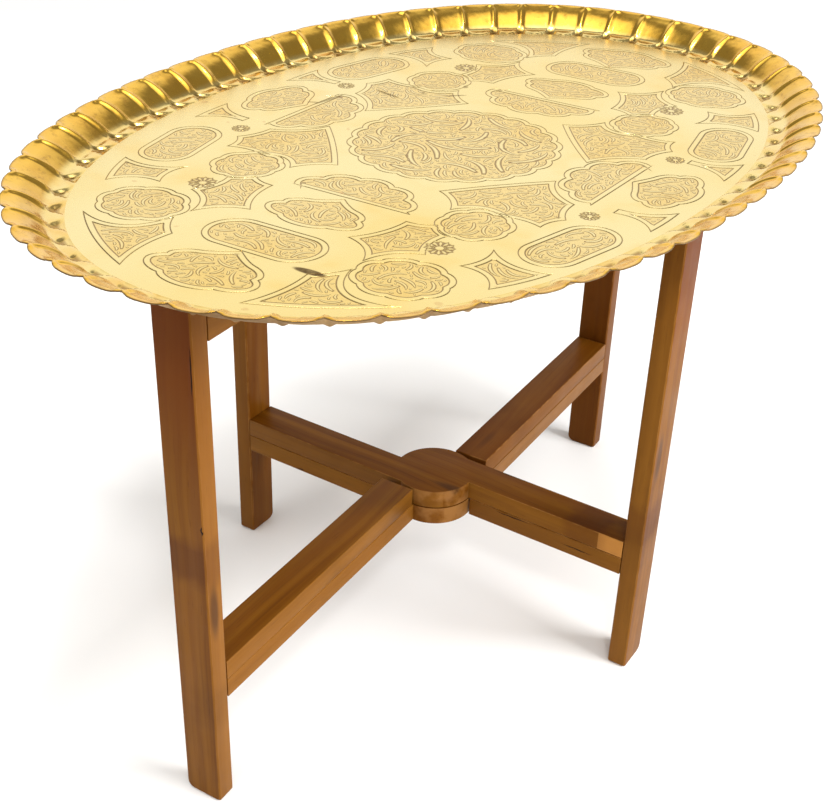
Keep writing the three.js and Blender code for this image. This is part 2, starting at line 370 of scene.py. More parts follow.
def brass_rim_material():
    s = Shader("brass_fluted")
    place = s.place()
    patch = s.noise(place, 30, 4, 0.6)
    mottle = s.noise(place, 110, 4, 0.65)
    height = s.axis(place, "Z")
    # Painted reflection: from 2.4 mm over the floor up, the rim's walls turn a deeper amber than the flat
    # tongues, for brass mirrored in brass. The same mask keeps the mottled tarnish to the walls.
    high = s.between(height, (FLOOR + 2.4) * MM, (FLOOR + 7) * MM)
    colour = s.mix(high, BRASS, BRASS_DEEP)
    colour = s.mix(s.times(s.between(patch, 0.35, 0.7), 0.5), colour, COPPER_CLOUD)
    # The line attribute is painted shade on the rim: in the hollows between the tongues, along the ribs'
    # feet, on the middle of the walls and along the edge. It darkens the brass together with the mottled
    # tarnish.
    crease = s.attribute("line")
    tarnish_and_shade = s.plus(s.times(s.between(mottle, 0.5, 0.8), s.times(high, 0.5)), s.times(crease, 0.8))
    colour = s.mix(tarnish_and_shade, colour, TARNISH_AND_SHADE)
    roughness = s.plus(0.13, s.times(s.between(mottle, 0.4, 0.75), 0.14))
    dents = s.bump(s.noise(place, 45, 2), 0.25, 0.003)
    fine = s.bump(s.noise(place, 500, 3), 0.08, 0.0004, dents)
    return s.finish(Base_Color=colour, Metallic=1.0, Roughness=roughness, Normal=fine)


def brass_underside_material():
    s = Shader("brass_underside")
    place = s.place()
    patch = s.noise(place, 14, 4, 0.6)
    spots = s.noise(place, 90, 4, 0.65)
    colour = s.mix(s.between(patch, 0.3, 0.7), DULL_BRASS, DULL_BRASS_DARK)
    colour = s.mix(s.times(s.between(spots, 0.55, 0.75), 0.6), colour, TARNISH_AND_SHADE)
    # Painted shade: the lip's edge and the first row under it are darkened to a thin dark line.
    colour = s.mix(s.times(s.attribute("line"), 0.85), colour, LIP_EDGE_SHADE)
    roughness = s.plus(0.36, s.times(patch, 0.25))
    hammered = s.cells(place, 55.0, "SMOOTH_F1")
    marks = s.bump(hammered, 0.3, 0.002)
    return s.finish(Base_Color=colour, Metallic=1.0, Roughness=roughness, Normal=marks)


def wood_grain(s, moved):
    """Rings and fine streaks, both 0 to 1, and the board's plain colour. The grain runs along X."""
    bend = s.noise(s.stretch(moved, (2.2, 9, 9)), 1.0, 2)
    bent = s.shift(moved, s.vector(0.0, s.times(bend, 0.05), s.times(bend, 0.03)))
    rings = s.noise(s.stretch(bent, (1.1, 95, 70)), 1.0, 3, 0.55)
    streaks = s.noise(s.stretch(bent, (5, 330, 260)), 1.0, 4, 0.6)
    broad = s.noise(s.stretch(moved, (4, 26, 26)), 1.0, 2)
    flecks = s.noise(s.stretch(bent, (38, 900, 800)), 1.0, 1)
    colour = s.mix(s.between(rings, 0.2, 0.8), WOOD_MID, WOOD_LIGHT)
    colour = s.mix(s.times(s.between(streaks, 0.48, 0.72), 0.34), colour, WOOD_DARK)
    colour = s.mix(s.times(s.between(broad, 0.4, 0.75), 0.6), colour, WOOD_MID)
    rosy = s.between(s.noise(s.stretch(moved, (3, 12, 12)), 1.0, 3), 0.45, 0.7)
    colour = s.mix(s.times(rosy, 0.45), colour, WOOD_ROSY)
    colour = s.mix(s.times(s.between(flecks, 0.68, 0.76), 0.4), colour, WOOD_DARK)
    return rings, streaks, colour


def distance_along(s, along, name):
    """How far a point lies along the board from the place in one of the board's properties."""
    place = s.times(s.attribute(name, "OBJECT"), -1.0)
    return s.math("ABSOLUTE", s.plus(along, place), 0.0)


def board_marks(s, place, moved, colour, narrow_face):
    """Knots, one let-in pale block, dark stains, and painted shade at the tops of the legs, under the tray.
    """
    knot = s.between(s.cells(s.stretch(moved, (4.5, 22, 22)), 1.0), 0.17, 0.06)
    colour = s.mix(s.times(knot, 0.75), colour, WOOD_KNOT)
    along = s.axis(place, "X")
    block = s.times(s.between(distance_along(s, along, "block_at"), 0.0178, 0.0172), narrow_face)
    colour = s.mix(s.times(block, 0.75), colour, WOOD_BLOCK)
    ragged = s.times(s.plus(s.noise(moved, 55, 3), -0.5), 0.02)
    stain = s.between(s.plus(distance_along(s, along, "stain_at"), ragged), 0.028, 0.012)
    colour = s.mix(s.times(stain, s.plus(0.55, s.times(narrow_face, -0.2))), colour, WOOD_STAIN)
    # Painted shade under the tray: the legs darken towards their tops, less so on their narrow faces.
    leg_top_shade = s.times(s.between(along, 0.30, 0.46), s.attribute("leg", "OBJECT"))
    leg_top_shade = s.times(leg_top_shade, s.plus(0.75, s.times(narrow_face, -0.6)))
    return s.mix(leg_top_shade, colour, WOOD_LEG_TOP_SHADE)


def wood_material():
    """Varnished wood. Each board is built with its grain along its own X axis."""
    s = Shader("varnished_wood")
    place = s.place()
    seed = s.attribute("grain_seed", "OBJECT")
    tone = s.attribute("tone", "OBJECT")
    narrow_face = s.attribute("narrow_face")
    moved = s.shift(place, s.vector(seed, s.times(seed, 0.37), s.times(seed, 0.71)))
    rings, streaks, colour = wood_grain(s, moved)
    # Painted light: the narrow long faces are made paler, as the light falls on them.
    colour = s.mix(s.times(narrow_face, 0.22), colour, WOOD_NARROW_FACE_LIT)
    colour = s.mix(s.between(tone, 0.0, -1.0), colour, WOOD_DARK_BOARD)
    colour = s.mix(s.between(tone, 0.0, 1.0), colour, WOOD_PALE_BOARD)
    colour = board_marks(s, place, moved, colour, narrow_face)
    wear = s.times(s.attribute("wear"), s.between(s.noise(moved, 60, 3), 0.35, 0.65))
    colour = s.mix(s.times(wear, 0.5), colour, WOOD_WORN)
    grime = s.between(s.noise(moved, 9, 4), 0.55, 0.75)
    colour = s.mix(s.times(grime, 0.25), colour, WOOD_DARK)
    roughness = s.plus(0.34, s.times(s.noise(moved, 35, 3), 0.22))
    relief = s.bump(s.plus(s.times(streaks, 0.6), s.times(rings, 0.5)), 0.35, 0.0006)
    ripple = s.bump(s.noise(s.stretch(moved, (6, 30, 30)), 1.0, 1), 0.25, 0.002, relief)
    return s.finish(Base_Color=colour, Roughness=roughness, Normal=ripple, Coat_Weight=0.03,
                    Coat_Roughness=0.2, Specular_IOR_Level=0.07, Specular_Tint=VARNISH_TINT)


def crack_material():
    s = Shader("crack_inside")
    place = s.place()
    fibre = s.noise(s.stretch(place, (40, 700, 700)), 1.0, 3)
    colour = s.mix(fibre, (0.012, 0.006, 0.003), (0.05, 0.022, 0.009))
    return s.finish(Base_Color=colour, Roughness=0.9)


def dowel_material():
    s = Shader("dowel_wood")
    place = s.place()
    fibre = s.noise(s.stretch(place, (60, 60, 9)), 1.0, 4)
    pores = s.noise(place, 900, 2)
    colour = s.mix(fibre, (0.30, 0.17, 0.075), (0.52, 0.34, 0.17))
    colour = s.mix(s.times(s.between(pores, 0.6, 0.7), 0.5), colour, (0.16, 0.08, 0.03))
    grain = s.bump(fibre, 0.3, 0.0004)
    return s.finish(Base_Color=colour, Roughness=s.plus(0.55, s.times(pores, 0.2)), Normal=grain)


def steel_material():
    s = Shader("zinced_steel")
    place = s.place()
    cloud = s.noise(place, 160, 4)
    turned = s.noise(s.stretch(place, (1, 1, 2600)), 1.0, 2)
    rust = s.between(s.noise(place, 420, 4), 0.6, 0.72)
    colour = s.mix(cloud, (0.36, 0.36, 0.38), (0.58, 0.58, 0.60))
    colour = s.mix(s.times(rust, 0.5), colour, (0.20, 0.09, 0.04))
    roughness = s.plus(0.28, s.times(cloud, 0.25))
    marks = s.bump(s.plus(turned, s.times(rust, 0.5)), 0.15, 0.0002)
    return s.finish(Base_Color=colour, Metallic=1.0, Roughness=roughness, Normal=marks)


def leather_material():
    s = Shader("waxed_leather")
    place = s.place()
    cells = s.cells(place, 1400.0)
    tint = s.noise(place, 120, 3)
    colour = s.mix(tint, (0.018, 0.010, 0.006), (0.055, 0.032, 0.018))
    grain = s.bump(cells, 0.4, 0.0002)
    return s.finish(Base_Color=colour, Roughness=s.plus(0.6, s.times(tint, 0.25)), Normal=grain)


# ======== Tray outline and rim

def oval_point(inset, angle):
    c, s = np.cos(angle), np.sin(angle)
    reach = (np.abs(c) ** OVAL_POWER + np.abs(s) ** OVAL_POWER) ** (-1 / OVAL_POWER)
    return np.stack([(HALF_LENGTH - inset) * reach * c, (HALF_WIDTH - inset) * reach * s], -1)


def even_angles(shares):
    """Angles at which the given shares of the outline's length have been passed."""
    fine = np.linspace(0, 2 * np.pi, OUTLINE_STEPS + 1)
    edge = oval_point(0, fine)
    passed = np.concatenate([[0], np.cumsum(np.linalg.norm(np.diff(edge, axis=0), axis=1))])
    return np.interp(np.asarray(shares) * passed[-1], passed, fine)


# Height over the floor at each distance out across the rim, on a rib's crest and in a scoop's middle
RIB_CREST = [(0, 0), (2, -0.35), (6, -0.55), (10, -0.3), (13, 1.8), (15.5, 5.6), (18, 8.9), (23, 13.2),
             (29, 17.2), (34, 19.7), (38, 20.9), (42, 21.5), (46, 22)]
SCOOP_BED = [(0, 0), (1.2, 0.8), (4, 1.5), (9, 1.8), (13, 2.0), (15.5, 3.4), (19, 6.6), (23, 10.2),
             (27, 13.3), (32, 16.4), (36, 18.2), (39, 19.4), (42.5, 20.7), (46, 21.3)]
RIM_RINGS = [0, 0.6, 1.2, 2.2, 3.4, 4.8, 6.4, 8.2, 10, 11.6, 13.4, 15.6, 18, 21, 24, 27, 30, 33, 35.5,
             37.6, 39.4, 41, 42.6, 44.2, 45.4, 46]
UNDER_RINGS = [45.6, 43, 40, 36, 31, 25, 18, 12, 6]
FLUTE_COLUMNS = [0, 0.03, 0.06, 0.09, 0.12, 0.145, 0.19, 0.27, 0.38, 0.5, 0.62, 0.73, 0.81, 0.855,
                 0.88, 0.91, 0.94, 0.97]


def rim_surface(out, flute, phase, variation):
    """(height, pull-in, crease) at a distance out across the rim and a place within a flute. The crease is
    how much painted shade darkens the brass there.
    """
    half_pitch = HALF_PITCH + HALF_PITCH_GROWTH * out / RIM_BAND
    across = np.abs(phase - 0.5) * 2 * half_pitch
    wide, deep, lift, lean = (v[flute] for v in variation)
    rounding = np.sqrt(np.clip(1 - ((TONGUE_LENGTH - out) / TONGUE_LENGTH) ** 2, 0, 1))
    rounding = np.where(out < TONGUE_LENGTH, rounding, 1)
    bed_half = (half_pitch - RIB_HALF * wide) * rounding
    past = across - bed_half
    upper = smooth(*RISER, out)
    lip = smooth(*LIP_START, out)
    bed = spline(SCOOP_BED, out) + (deep - 1) * smooth(0.5, 4, out) * (1 - upper)
    crest = spline(RIB_CREST, out) + lift * upper * (1 - lip)
    drop_off = smooth(-0.9, 1.3, past)
    climb = np.sin(np.pi / 2 * np.clip(past / np.maximum(half_pitch - bed_half, 1), 0, 1)) ** 2
    wave = (across / half_pitch) ** 3
    share = drop_off * (1 - upper) + climb * upper * (1 - lip) + wave * lip
    step = STEP_HEIGHT * smooth(-1.0, 0.4, past) * (1 - climb) * upper * (1 - smooth(28, 38, out))
    dish = DISH * (across / half_pitch) ** 2 * upper * (1 - lip) * (1 - climb)
    bead = LIP_BEAD * np.exp(-((half_pitch - 3.8 - across) / 1.8) ** 2 - ((out - 43) / 2.0) ** 2)
    height = bed + (crest - bed) * share + step + dish + bead
    height = np.minimum(height + lean * (phase - 0.5) * smooth(8, 20, out) * (1 - lip), RISE)
    pull = LIP_NOTCH * wave * smooth(*LIP_PULL, out)
    # Painted shade in the hollows between the tongues, near the floor.
    valley = smooth(0.4, 2.2, past) * smooth(3, 6, out) * (1 - smooth(11, 15, out))
    # Painted shade along each rib's foot on the wall.
    foot = FOOT_PAINTED_SHADE * np.exp(-(past / 0.8) ** 2) * smooth(14, 18, out) * (1 - smooth(26, 36, out))
    # Painted shade across the middle of the scoops' walls, away from the ribs.
    wall_painted_shade = WALL_PAINTED_SHADE * smooth(14, 18, out) * (1 - smooth(29, 36, out)) * (1 - climb)
    # Painted shade in a thin line along the rim's edge.
    edge_painted_shade = EDGE_PAINTED_SHADE * smooth(44.9, 45.6, out)
    return height, pull, np.max([valley, foot, wall_painted_shade, edge_painted_shade], axis=0)


def rim_grid(rings, angles, flute, phase, variation, drop):
    """Points, row by row, for the given distances out, all moved down by drop across the slope."""
    edge, foot = oval_point(0, angles), oval_point(RIM_BAND, angles)
    outward = edge - foot
    rows, creases = [], []
    for out in rings:
        out_here = np.full(len(angles), float(out))
        height, pull, crease = rim_surface(out_here, flute, phase, variation)
        ahead, _, _ = rim_surface(out_here + 1, flute, phase, variation)
        slope = np.arctan(np.clip(ahead - height, 0, 2))
        flat = foot + outward * ((out - pull) / RIM_BAND)[:, None]
        shove = drop * np.sin(slope) * (1 - smooth(*LIP_PULL, out_here))
        flat = flat + outward / np.linalg.norm(outward, axis=1)[:, None] * shove[:, None]
        z = np.maximum(FLOOR + height - drop / np.maximum(np.cos(slope), 0.7), UNDERSIDE)
        rows.append(np.column_stack([flat, z]))
        creases.append(crease)
    return rows, creases


def rim_variation(rng):
    """Each flute's own rib width, tongue depth, rib height and twist, as hand work leaves them."""
    wide = 1 + 0.16 * rng.uniform(-1, 1, FLUTES)
    deep = 1 + 0.25 * rng.uniform(-1, 0.6, FLUTES)
    lift = 0.35 * rng.uniform(-1, 1, FLUTES)
    lean = 0.9 * rng.uniform(-1, 1, FLUTES)
    return wide, deep, lift, lean


# ======== Chased panels

def resample(points):
    """An open line's points, spaced evenly. The last point is left out, for the next side to start."""
    points = np.asarray(points, float)
    passed = np.concatenate([[0], np.cumsum(np.linalg.norm(np.diff(points, axis=0), axis=1))])
    count = max(2, int(round(passed[-1] / CHASED_STEP)))
    wanted = np.linspace(0, passed[-1], count + 1)[:-1]
    return np.column_stack([np.interp(wanted, passed, points[:, k]) for k in (0, 1)])


def curve(f, start, end, count=40):
    return np.array([f(t) for t in np.linspace(start, end, count)])


def scallop(u, depth):
    """How far out a lobe reaches at a share u of it: 1 in its middle, less by depth at its ends."""
    return 1 - depth * (1 - math.sin(math.pi * u) ** 0.8)


def lobe_sides(lobes, point):
    """The sides of an outline of equal lobes. point(k, u) is the place at a share u of lobe k."""
    return [resample(curve(lambda u, k=k: point(k, u), 0, 1)) for k in range(lobes)]


def lobed(cx, cy, rx, ry, lobes, depth, turn=0.0):
    """A closed outline of round lobes that meet in inward cusps."""
    def point(k, u):
        angle = turn + 2 * math.pi * (k + u) / lobes
        reach = scallop(u, depth)
        return cx + rx * reach * math.cos(angle), cy + ry * reach * math.sin(angle)
    return np.concatenate(lobe_sides(lobes, point))


def stadium(cx, cy, length, width, turn=0.0):
    """A long panel with round ends."""
    r, straight = width / 2, (length - width) / 2
    c, s = math.cos(turn), math.sin(turn)
    right = curve(lambda a: (straight + r * math.cos(a), r * math.sin(a)), -math.pi / 2, math.pi / 2)
    left = -right
    loop = np.concatenate([resample([*right, left[0]]), resample([*left, right[0]])])
    return loop @ np.array([[c, s], [-s, c]]) + (cx, cy)


def curved_sides(corners, bows):
    """A closed outline of arcs. A bow is how far a side's middle lies inwards, in millimetres."""
    corners = np.asarray(corners, float)
    middle = corners.mean(0)
    sides = []
    for k, bow in enumerate(bows):
        a, b = corners[k], corners[(k + 1) % len(corners)]
        normal = np.array([-(b - a)[1], (b - a)[0]])
        normal /= np.linalg.norm(normal)
        if normal @ (middle - (a + b) / 2) < 0:
            normal = -normal
        sides.append(resample(curve(lambda t, a=a, b=b, n=normal, bow=bow: a + (b - a) * t
                                    + n * bow * 4 * t * (1 - t), 0, 1)))
    return np.concatenate(sides)


def fan(x, half, reach, lobes):
    """Half a scalloped rosette: flat at x, lobed on the side towards the tray's middle."""
    def point(k, u):
        angle = math.pi * (k + u) / lobes
        bulge = scallop(u, 0.10)
        return x - (x - reach) * bulge * math.sin(angle), half * bulge * math.cos(angle)
    return np.concatenate([resample([(x, -half), (x, half)]), *lobe_sides(lobes, point)])


def flower(x0, x1, half, point_x, lobes):
    """A lobed blossom between x0 and x1 with a point at point_x, towards the tray's middle."""
    cx, rx = (x0 + x1) / 2, (x1 - x0) / 2

    def point(k, u):
        angle = math.pi + 2 * math.pi * (k + u) / lobes
        reach = scallop(u, 0.13)
        near = max(0.0, 1 - abs(math.remainder(angle - math.pi, 2 * math.pi)) / 0.5)
        tip = (cx - rx * 0.87 - point_x) / rx * near ** 1.6
        return cx + rx * (reach + tip) * math.cos(angle), half * reach * math.sin(angle)
    return np.concatenate(lobe_sides(lobes, point))


def mirrored(outline, mx, my):
    """The outline in another quarter, still counter-clockwise."""
    turned = outline * (mx, my)
    return turned[::-1] if mx * my < 0 else turned


def counter_clockwise(outline):
    x, y = outline.T
    area = np.sum(x * np.roll(y, -1) - y * np.roll(x, -1))
    return outline if area > 0 else outline[::-1]


def laid_out(points):
    """From the engraver's own axes to the tray's."""
    x, y = np.asarray(points, float).T
    tx = LAYOUT_MIDDLE[0] + x * math.cos(LAYOUT_TURN_X) - y * math.sin(LAYOUT_TURN_Y)
    ty = LAYOUT_MIDDLE[1] + x * math.sin(LAYOUT_TURN_X) + y * math.cos(LAYOUT_TURN_Y)
    return np.column_stack([tx, ty])


# Panels in one quarter of the tray, on the engraver's axes. All four quarters hold the same ones.
QUARTER_PANELS = [
    curved_sides([(102, 50), (130, 78), (118, 118), (120, 152), (96, 161), (64, 151), (27, 114)],
                 [4, 10, 3, 3, 3, 6, -2]),
    lobed(145, 110, 32, 31, 8, 0.07),
    curved_sides([(220, 46), (170, 64), (162, 87), (175, 105), (214, 110), (249, 80)],
                 [5, 2.5, 2.5, 5, 7, 6]),
    lobed(258, 120, 34, 39, 8, 0.07, math.radians(10)),
    stadium(138, 188, 92, 48, math.radians(-12)),
    curved_sides([(353, 54), (297, 144), (266, 82), (290, 62)], [-5, 20, 2, 5]),
    curved_sides([(216, 141), (178, 146), (191, 201), (238, 178)], [5, 9, -2, 8]),
]
BOOT = curved_sides([(73, 184), (64, 184), (44, 226), (90, 224)], [0, 6, -1, 7])
# Panels on the long axis, which the tray's other end repeats, and on the short axis
LONG_AXIS_PANELS = [fan(157, 58, 109, 5), flower(172, 224, 45, 161, 5),
                    stadium(260, 0, 104, 50, math.pi / 2), flower(297, 356, 50, 286, 5)]
SHORT_AXIS_PANELS = [fan(162, 57, 110, 5)[:, ::-1],
                     flower(172, 226, 43, 166, 5)[:, ::-1] + (ROW_SHIFT * 0.7, 0)]
MEDALLION = lobed(0, 0, 93, 93, 22, 0.04)
ROSETTES = [(198, 112, 12), (78, 172, 8.5)]
QUARTERS = [(1, 1), (1, -1), (-1, 1), (-1, -1)]


def panel_outlines():
    """Every panel's outer outline, in millimetres on the tray."""
    found = [MEDALLION]
    found += [mirrored(outline, *quarter) for outline in QUARTER_PANELS for quarter in QUARTERS]
    found += [mirrored(BOOT, *quarter) + (ROW_SHIFT, 0) for quarter in QUARTERS]
    found += [mirrored(outline, end, 1) for outline in LONG_AXIS_PANELS for end in (1, -1)]
    found += [mirrored(outline, 1, end) for outline in SHORT_AXIS_PANELS for end in (1, -1)]
    return [counter_clockwise(laid_out(outline)) for outline in found]


def offset(outline, distance, most=2.6):
    """A closed counter-clockwise outline moved inwards, with long corners cut short."""
    before, after = np.roll(outline, 1, axis=0), np.roll(outline, -1, axis=0)
    into, out_of = outline - before, after - outline
    into /= np.linalg.norm(into, axis=1)[:, None]
    out_of /= np.linalg.norm(out_of, axis=1)[:, None]
    inward = np.column_stack([-(into + out_of)[:, 1], (into + out_of)[:, 0]])
    length = np.linalg.norm(inward, axis=1)
    inward /= np.maximum(length, TINY)[:, None]
    stretch_by = np.minimum(2 / np.maximum(length, TINY), most)
    moved = outline + inward * (distance * stretch_by)[:, None]
    if abs(distance) < 2:
        return moved
    gaps = distance_to(moved, outline)
    return moved[gaps > abs(distance) * 0.9]


def distance_to(points, outline):
    """Each point's distance to a closed outline."""
    a, b = outline, np.roll(outline, -1, axis=0)
    along = b - a
    t = np.einsum("pqk,qk->pq", points[:, None] - a[None], along) / np.maximum((along ** 2).sum(1), 1e-12)
    nearest = a[None] + np.clip(t, 0, 1)[..., None] * along[None]
    return np.linalg.norm(points[:, None] - nearest, axis=2).min(1)


def inside(points, outline):
    x, y = points[:, 0][:, None], points[:, 1][:, None]
    a, b = outline, np.roll(outline, -1, axis=0)
    crosses = (a[:, 1] > y) != (b[:, 1] > y)
    run = np.where(b[:, 1] == a[:, 1], 1e-12, b[:, 1] - a[:, 1])
    left = x < (b[:, 0] - a[:, 0]) * (y - a[:, 1]) / run + a[:, 0]
    return (np.logical_and(crosses, left).sum(1) % 2).astype(bool)


class Plan:
    """The floor's points and lines, to be made into one sheet of triangles."""

    def __init__(self):
        self.points, self.heights, self.lines, self.panels, self.edges = [], [], [], [], []

    def add(self, points, height, line, panel, closed=True):
        first = len(self.points)
        count = len(points)
        heights = np.broadcast_to(height, count)
        lines = np.broadcast_to(line, count)
        self.points += [tuple(p) for p in points]
        self.heights += list(heights)
        self.lines += list(lines)
        self.panels += [panel] * count
        self.edges += [(first + i, first + i + 1) for i in range(count - 1)]
        if closed:
            self.edges.append((first + count - 1, first))

    def add_line(self, outline):
        """A V cut along a closed outline."""
        self.add(offset(outline, LINE_WIDTH / 2), 0, 0, 0)
        self.add(outline, -LINE_DEPTH, 1, 0)
        self.add(offset(outline, -LINE_WIDTH / 2), 0, 0, 0)


def leaf_shape(length, width, bend):
    """A leaf's outline and spine: a tapering comma that starts at the origin along +X."""
    steps = np.array([0.04, 0.16, 0.32, 0.48, 0.64, 0.79, 0.91] if length > 11 else [0.05, 0.24, 0.5, 0.78])
    half = width / 2 * np.sin(np.pi * np.clip(steps * 0.86 + 0.12, 0, 1)) ** 0.7
    turn = bend * steps ** 1.5
    heading = np.concatenate([[0], bend * np.linspace(0.02, 1, 40) ** 1.5])
    path = np.cumsum(np.column_stack([np.cos(heading), np.sin(heading)]), axis=0) * length / len(heading)
    passed = np.linspace(0, 1, len(path))
    spine = np.column_stack([np.interp(steps, passed, path[:, k]) for k in (0, 1)])
    side = np.column_stack([-np.sin(turn), np.cos(turn)]) * half[:, None]
    outline = np.concatenate([spine - side, path[-1:], (spine + side)[::-1]])
    return outline, spine[1:]


def placed(points, x, y, angle):
    c, s = math.cos(angle), math.sin(angle)
    return points @ np.array([[c, s], [-s, c]]) + (x, y)


class Cover:
    """Half-millimetre squares of the tray that leaves have taken or may not take."""

    cell = 0.5

    def __init__(self):
        self.half = (HALF_LENGTH, HALF_WIDTH)
        shape = [int(2 * h / self.cell) + 2 for h in self.half]
        self.free = np.zeros(shape, bool)

    def index(self, points):
        return ((np.asarray(points) + self.half) / self.cell).astype(int).T

    def open_up(self, outline):
        """Frees the squares inside an outline."""
        low, high = outline.min(0), outline.max(0)
        xs = np.arange(low[0], high[0], self.cell)
        ys = np.arange(low[1], high[1], self.cell)
        grid = np.stack(np.meshgrid(xs, ys, indexing="ij"), -1).reshape(-1, 2)
        i, j = self.index(grid[inside(grid, outline)])
        self.free[i, j] = True

    def fits(self, points):
        i, j = self.index(points)
        return bool(self.free[i, j].all())

    def take(self, points):
        i, j = self.index(points)
        for di in (-1, 0, 1):
            for dj in (-1, 0, 1):
                self.free[i + di, j + dj] = False


# Leaf lengths and widths. The bold ones come first, in the great middle panel only.
BOLD_LEAVES = [(46, 6.4), (34, 5.8), (26, 5.0)]
LEAF_SIZES = [(25, 3.7), (19, 3.6), (14, 3.4), (10, 3.1), (7.5, 2.7), (5.4, 2.3), (3.8, 1.9)]
GREAT_PANEL_AREA = 25000


def filled(outline, spine, rounds=4):
    """Points all over a leaf, to test and take its squares."""
    middle = np.concatenate([spine[:1], spine, spine[-1:]])
    near = middle[np.linalg.norm(outline[:, None] - middle[None], axis=2).argmin(1)]
    edges = np.concatenate([outline, (outline + np.roll(outline, -1, axis=0)) / 2])
    nears = np.concatenate([near, (near + np.roll(near, -1, axis=0)) / 2])
    return np.concatenate([edges + (nears - edges) * k / rounds for k in range(rounds + 1)])


def add_scrolls(plan, cover, region, rng):
    """Fills a panel with curled leaves that turn about scattered middles, as scrolling stems do."""
    low, high = region.min(0), region.max(0)
    area = (high - low).prod()
    curls = rng.uniform(low, high, (max(3, int(area / CURL_AREA)), 2))
    hands = np.where(rng.random(len(curls)) < 0.5, 1, -1)
    for length, width in (BOLD_LEAVES if area > GREAT_PANEL_AREA else []) + LEAF_SIZES:
        tries = int(area / (length * width) * LEAF_TRIES)
        starts = rng.uniform(low, high, (tries, 2))
        i, j = cover.index(starts)
        starts = starts[cover.free[i, j]]
        for x, y in starts:
            gap = curls - (x, y)
            nearest = (gap ** 2).sum(1).argmin()
            hand = hands[nearest]
            around = math.atan2(gap[nearest][1], gap[nearest][0]) - hand * math.pi / 2
            angle = around + hand * rng.uniform(*LEAF_LEAN)
            bend = hand * rng.uniform(*LEAF_BEND)
            outline, spine = leaf_shape(length * rng.uniform(*LEAF_VARIES), width, bend)
            outline, spine = placed(outline, x, y, angle), placed(spine, x, y, angle)
            body = filled(outline, spine)
            if not cover.fits(body):
                continue
            cover.take(body)
            plan.add(outline, -GROUND_DEPTH, 1, 1)
            crown = LEAF_CROWN * np.sin(np.pi * np.linspace(0.2, 0.95, len(spine)))
            plan.add(spine, crown, 0, 1, closed=False)


def add_rosette(plan, x, y, radius, petals=12):
    """A small flower of thin petals cut straight into the floor."""
    (x, y), = laid_out([(x, y)])
    for reach in (0.17, 1.06):
        ring = curve(lambda a, r=radius * reach: (x + r * math.cos(a), y + r * math.sin(a)),
                     0, 2 * math.pi, 37)
        plan.add(ring[:-1], 0, 0, 0)
    for k in range(petals):
        outline, spine = leaf_shape(radius * 0.78, radius * 0.36, 0.12)
        angle = 2 * math.pi * k / petals
        start = (x + radius * 0.22 * math.cos(angle), y + radius * 0.22 * math.sin(angle))
        plan.add(placed(outline, *start, angle), -LINE_DEPTH * 0.8, 0.8, 0)
        plan.add(placed(spine, *start, angle), 0, 0, 0, closed=False)


def chased_floor(border, rng):
    """The floor's points, triangles and marks. The border is the rim's inner ring."""
    plan, cover = Plan(), Cover()
    plan.add(border, 0, 0, 0)
    for outline in panel_outlines():
        plan.add_line(outline)
        inner = offset(outline, OUTLINE_GAP)
        plan.add(offset(inner, -LINE_WIDTH / 2), 0, 0, 0)
        plan.add(inner, -LINE_DEPTH, 1, 1)
        plan.add(offset(inner, LINE_WIDTH / 2), -GROUND_DEPTH, 0.5, 1)
        region = offset(inner, LINE_WIDTH / 2 + 0.4)
        cover.open_up(region)
        add_scrolls(plan, cover, region, rng)
    for x, y, radius in ROSETTES:
        for mx, my in QUARTERS:
            add_rosette(plan, mx * x, my * y, radius)
    points = [Vector(p) for p in plan.points]
    made = delaunay_2d_cdt(points, plan.edges, [], 0, 1e-4, True)
    flat, triangles, sources = made[0], made[2], made[3]
    heights, lines, panels = (np.array(v, float) for v in (plan.heights, plan.lines, plan.panels))
    z = np.array([heights[s].min() if s else -LINE_DEPTH / 2 for s in sources])
    line = np.array([lines[s].max() if s else 0.5 for s in sources])
    panel = np.array([panels[s].max() if s else 0.0 for s in sources])
    corners = np.column_stack([np.array([tuple(p) for p in flat]), FLOOR + z])
    return corners, np.array([list(t) for t in triangles]), line, panel


TRAY_SEED = 7
FLUTE_SWAY = 0.035
WELD_M = 2e-6


def flute_places(rng):
    """Each column's flute, its share of the way across that flute, and its angle on the outline."""
    flute = np.repeat(np.arange(FLUTES), len(FLUTE_COLUMNS))
    phase = np.tile(FLUTE_COLUMNS, FLUTES)
    sway = FLUTE_SWAY * rng.uniform(-1, 1, FLUTES + 1)
    sway[-1] = sway[0]
    shares = (flute + phase + sway[flute] * (1 - phase) + sway[flute + 1] * phase) / FLUTES
    return flute, phase, even_angles(np.mod(shares, 1))


def rim_faces(row_count, top_count, n):
    """Faces, material slots and smoothness of the rim's rows, and of the flat sheet under the floor."""
    faces, slots = [], []
    ahead = np.roll(np.arange(n), -1)
    for r in range(row_count - 1):
        here, there = r * n, (r + 1) * n
        faces += [(here + i, there + i, there + j, here + j) for i, j in enumerate(ahead)]
        slots += [1 if r < top_count - 1 else 2] * n
    last = (row_count - 1) * n
    return [*faces, tuple(range(last, last + n))], [*slots, 2], [*[True] * len(faces), False]


